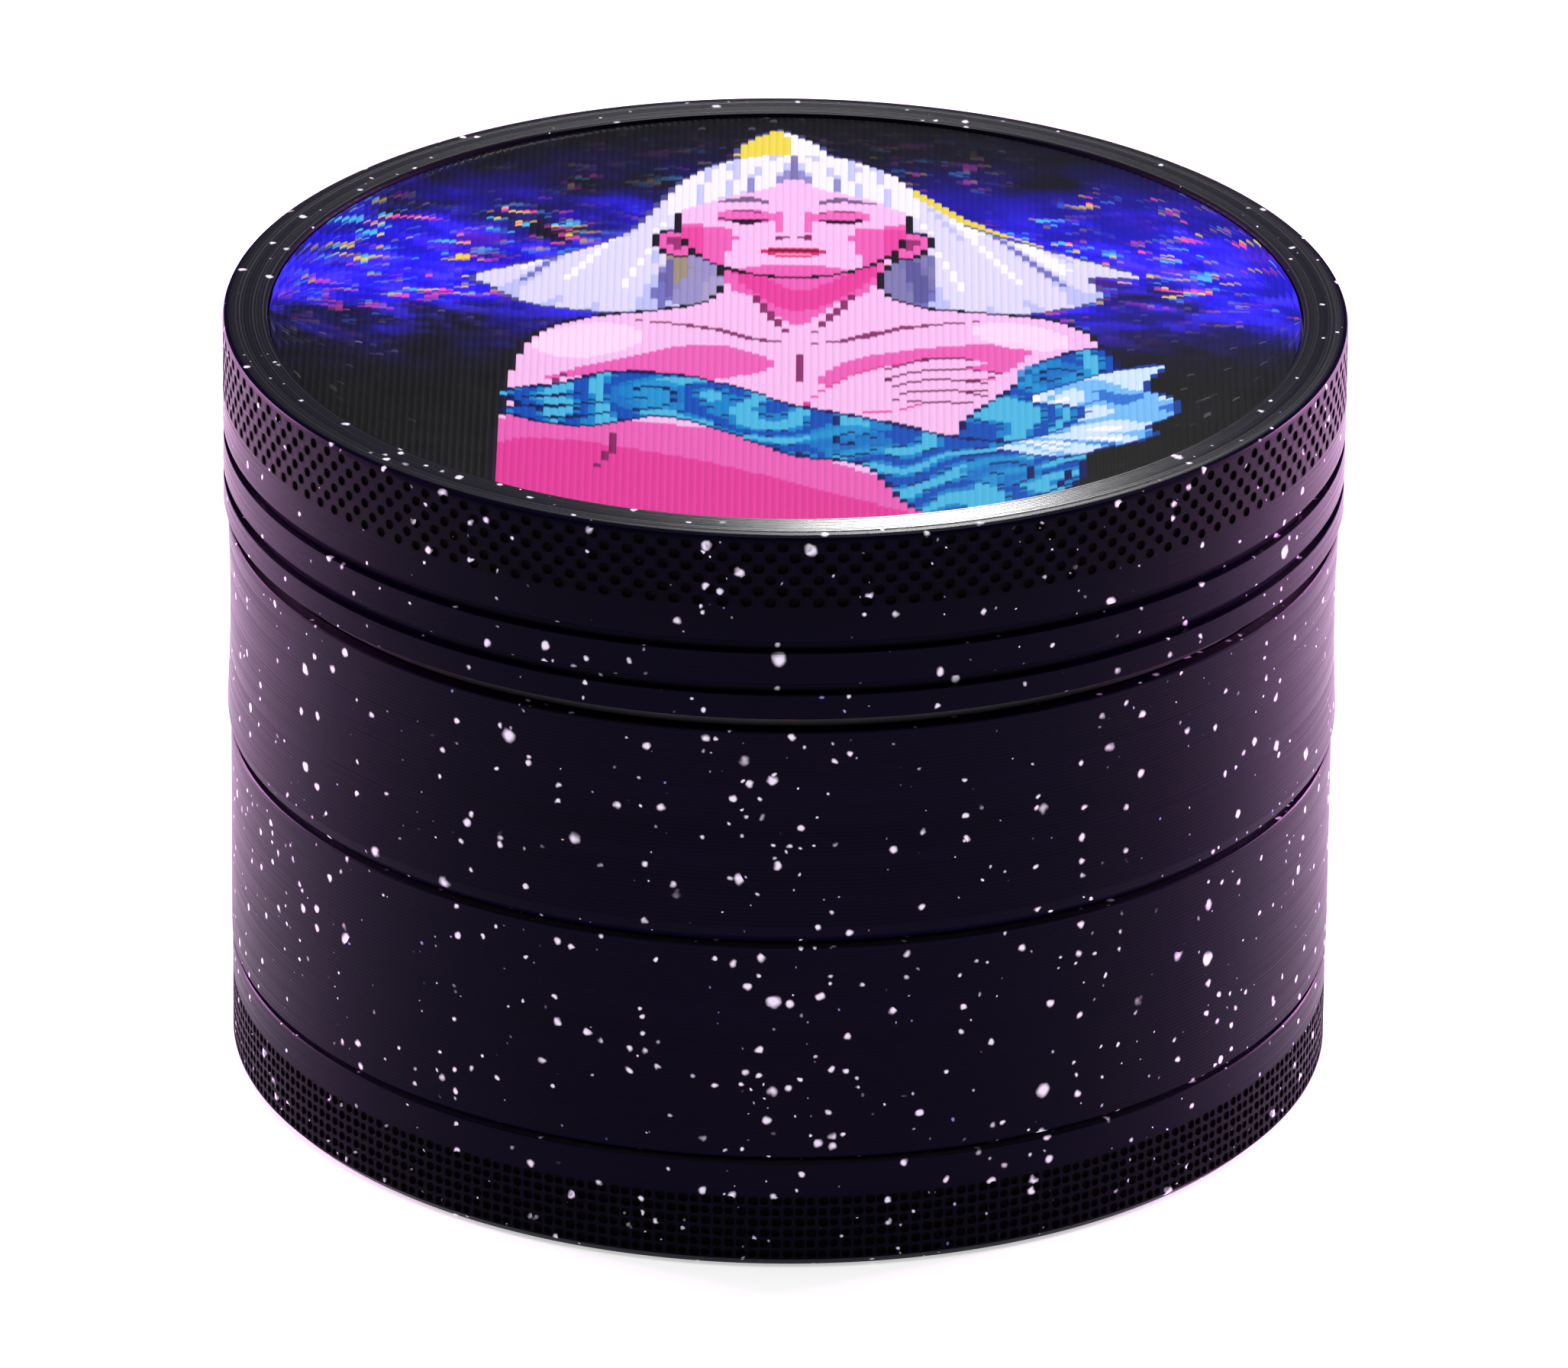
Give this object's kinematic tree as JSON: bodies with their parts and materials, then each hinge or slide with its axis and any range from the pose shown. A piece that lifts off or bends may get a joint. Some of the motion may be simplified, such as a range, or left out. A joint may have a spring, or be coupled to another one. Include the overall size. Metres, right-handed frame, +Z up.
{
  "type": "herb grinder",
  "caption": "Round four-part grinder: threaded catch tray, screen chamber and toothed grinding chamber under a magnetic lid with knurled rim and a round picture disc.",
  "frame": {"origin": "centre of the flat underside of the catch tray, on the axis of the cylinder", "axes": "+Z up along the cylinder's axis, -Y towards the viewer with the picture upright, +X to the right"},
  "size_m": [0.063, 0.063, 0.0444],
  "materials": {
    "anodised_shell": "satin black-violet anodising over turned aluminium, with small pale star specks",
    "washer": "thin white PTFE",
    "nylon": "white nylon",
    "gasket": "black silicone",
    "screen_mesh": "woven stainless wire",
    "screen_steel": "rolled stainless strip",
    "spring_steel": "bright spring wire",
    "magnet": "nickel-plated magnet",
    "seal_resin": "black epoxy seal over the magnet",
    "adhesive": "double-sided tape",
    "print": "printed film",
    "lens": "ribbed lens sheet over the printed picture"
  },
  "bodies": {
    "tray": {"catch_tray": "anodised_shell"},
    "lower_washer": {"lower_thread_washer": "washer"},
    "screen_body": {"screen_chamber": "anodised_shell", "screen_gasket": "gasket", "mesh_screen": "screen_mesh", "screen_hoop": "screen_steel", "screen_snap_ring": "spring_steel"},
    "upper_washer": {"upper_thread_washer": "washer"},
    "grinding_body": {"grinding_chamber": "anodised_shell", "chamber_outer_teeth": "anodised_shell", "chamber_inner_teeth": "anodised_shell", "chamber_post": "anodised_shell", "chamber_magnet": "magnet", "chamber_magnet_seal": "seal_resin"},
    "ring": {"glide_ring": "nylon"},
    "lid": {"lid_shell": "anodised_shell", "lid_outer_teeth": "anodised_shell", "lid_inner_teeth": "anodised_shell", "lid_post": "anodised_shell", "lid_magnet": "magnet", "lid_magnet_seal": "seal_resin", "label_adhesive": "adhesive", "label_print": "print", "label_lens": "lens"}
  },
  "joints": [
    {"name": "screen_rise", "type": "slide", "parent": "tray", "child": "lower_washer", "axis": [0, 0, 1], "range_m": [0, 0.00241]},
    {"name": "screen_turn", "type": "hinge", "parent": "lower_washer", "child": "screen_body", "pos_m": [0, 0, 0], "axis": [0, 0, 1], "range_deg": [0, 540]},
    {"name": "chamber_rise", "type": "slide", "parent": "screen_body", "child": "upper_washer", "axis": [0, 0, 1], "range_m": [0, 0.00241]},
    {"name": "chamber_turn", "type": "hinge", "parent": "upper_washer", "child": "grinding_body", "pos_m": [0, 0, 0], "axis": [0, 0, 1], "range_deg": [0, 540]},
    {"name": "lid_lift", "type": "slide", "parent": "grinding_body", "child": "ring", "axis": [0, 0, 1], "range_m": [0, 0.04]},
    {"name": "lid_turn", "type": "hinge", "parent": "ring", "child": "lid", "pos_m": [0, 0, 0], "axis": [0, 0, 1], "continuous": true}
  ],
  "couplings": [
    {"joint": "screen_rise", "follows": "screen_turn", "m_per_rad": 0.00025465},
    {"joint": "chamber_rise", "follows": "chamber_turn", "m_per_rad": 0.00025465}
  ]
}
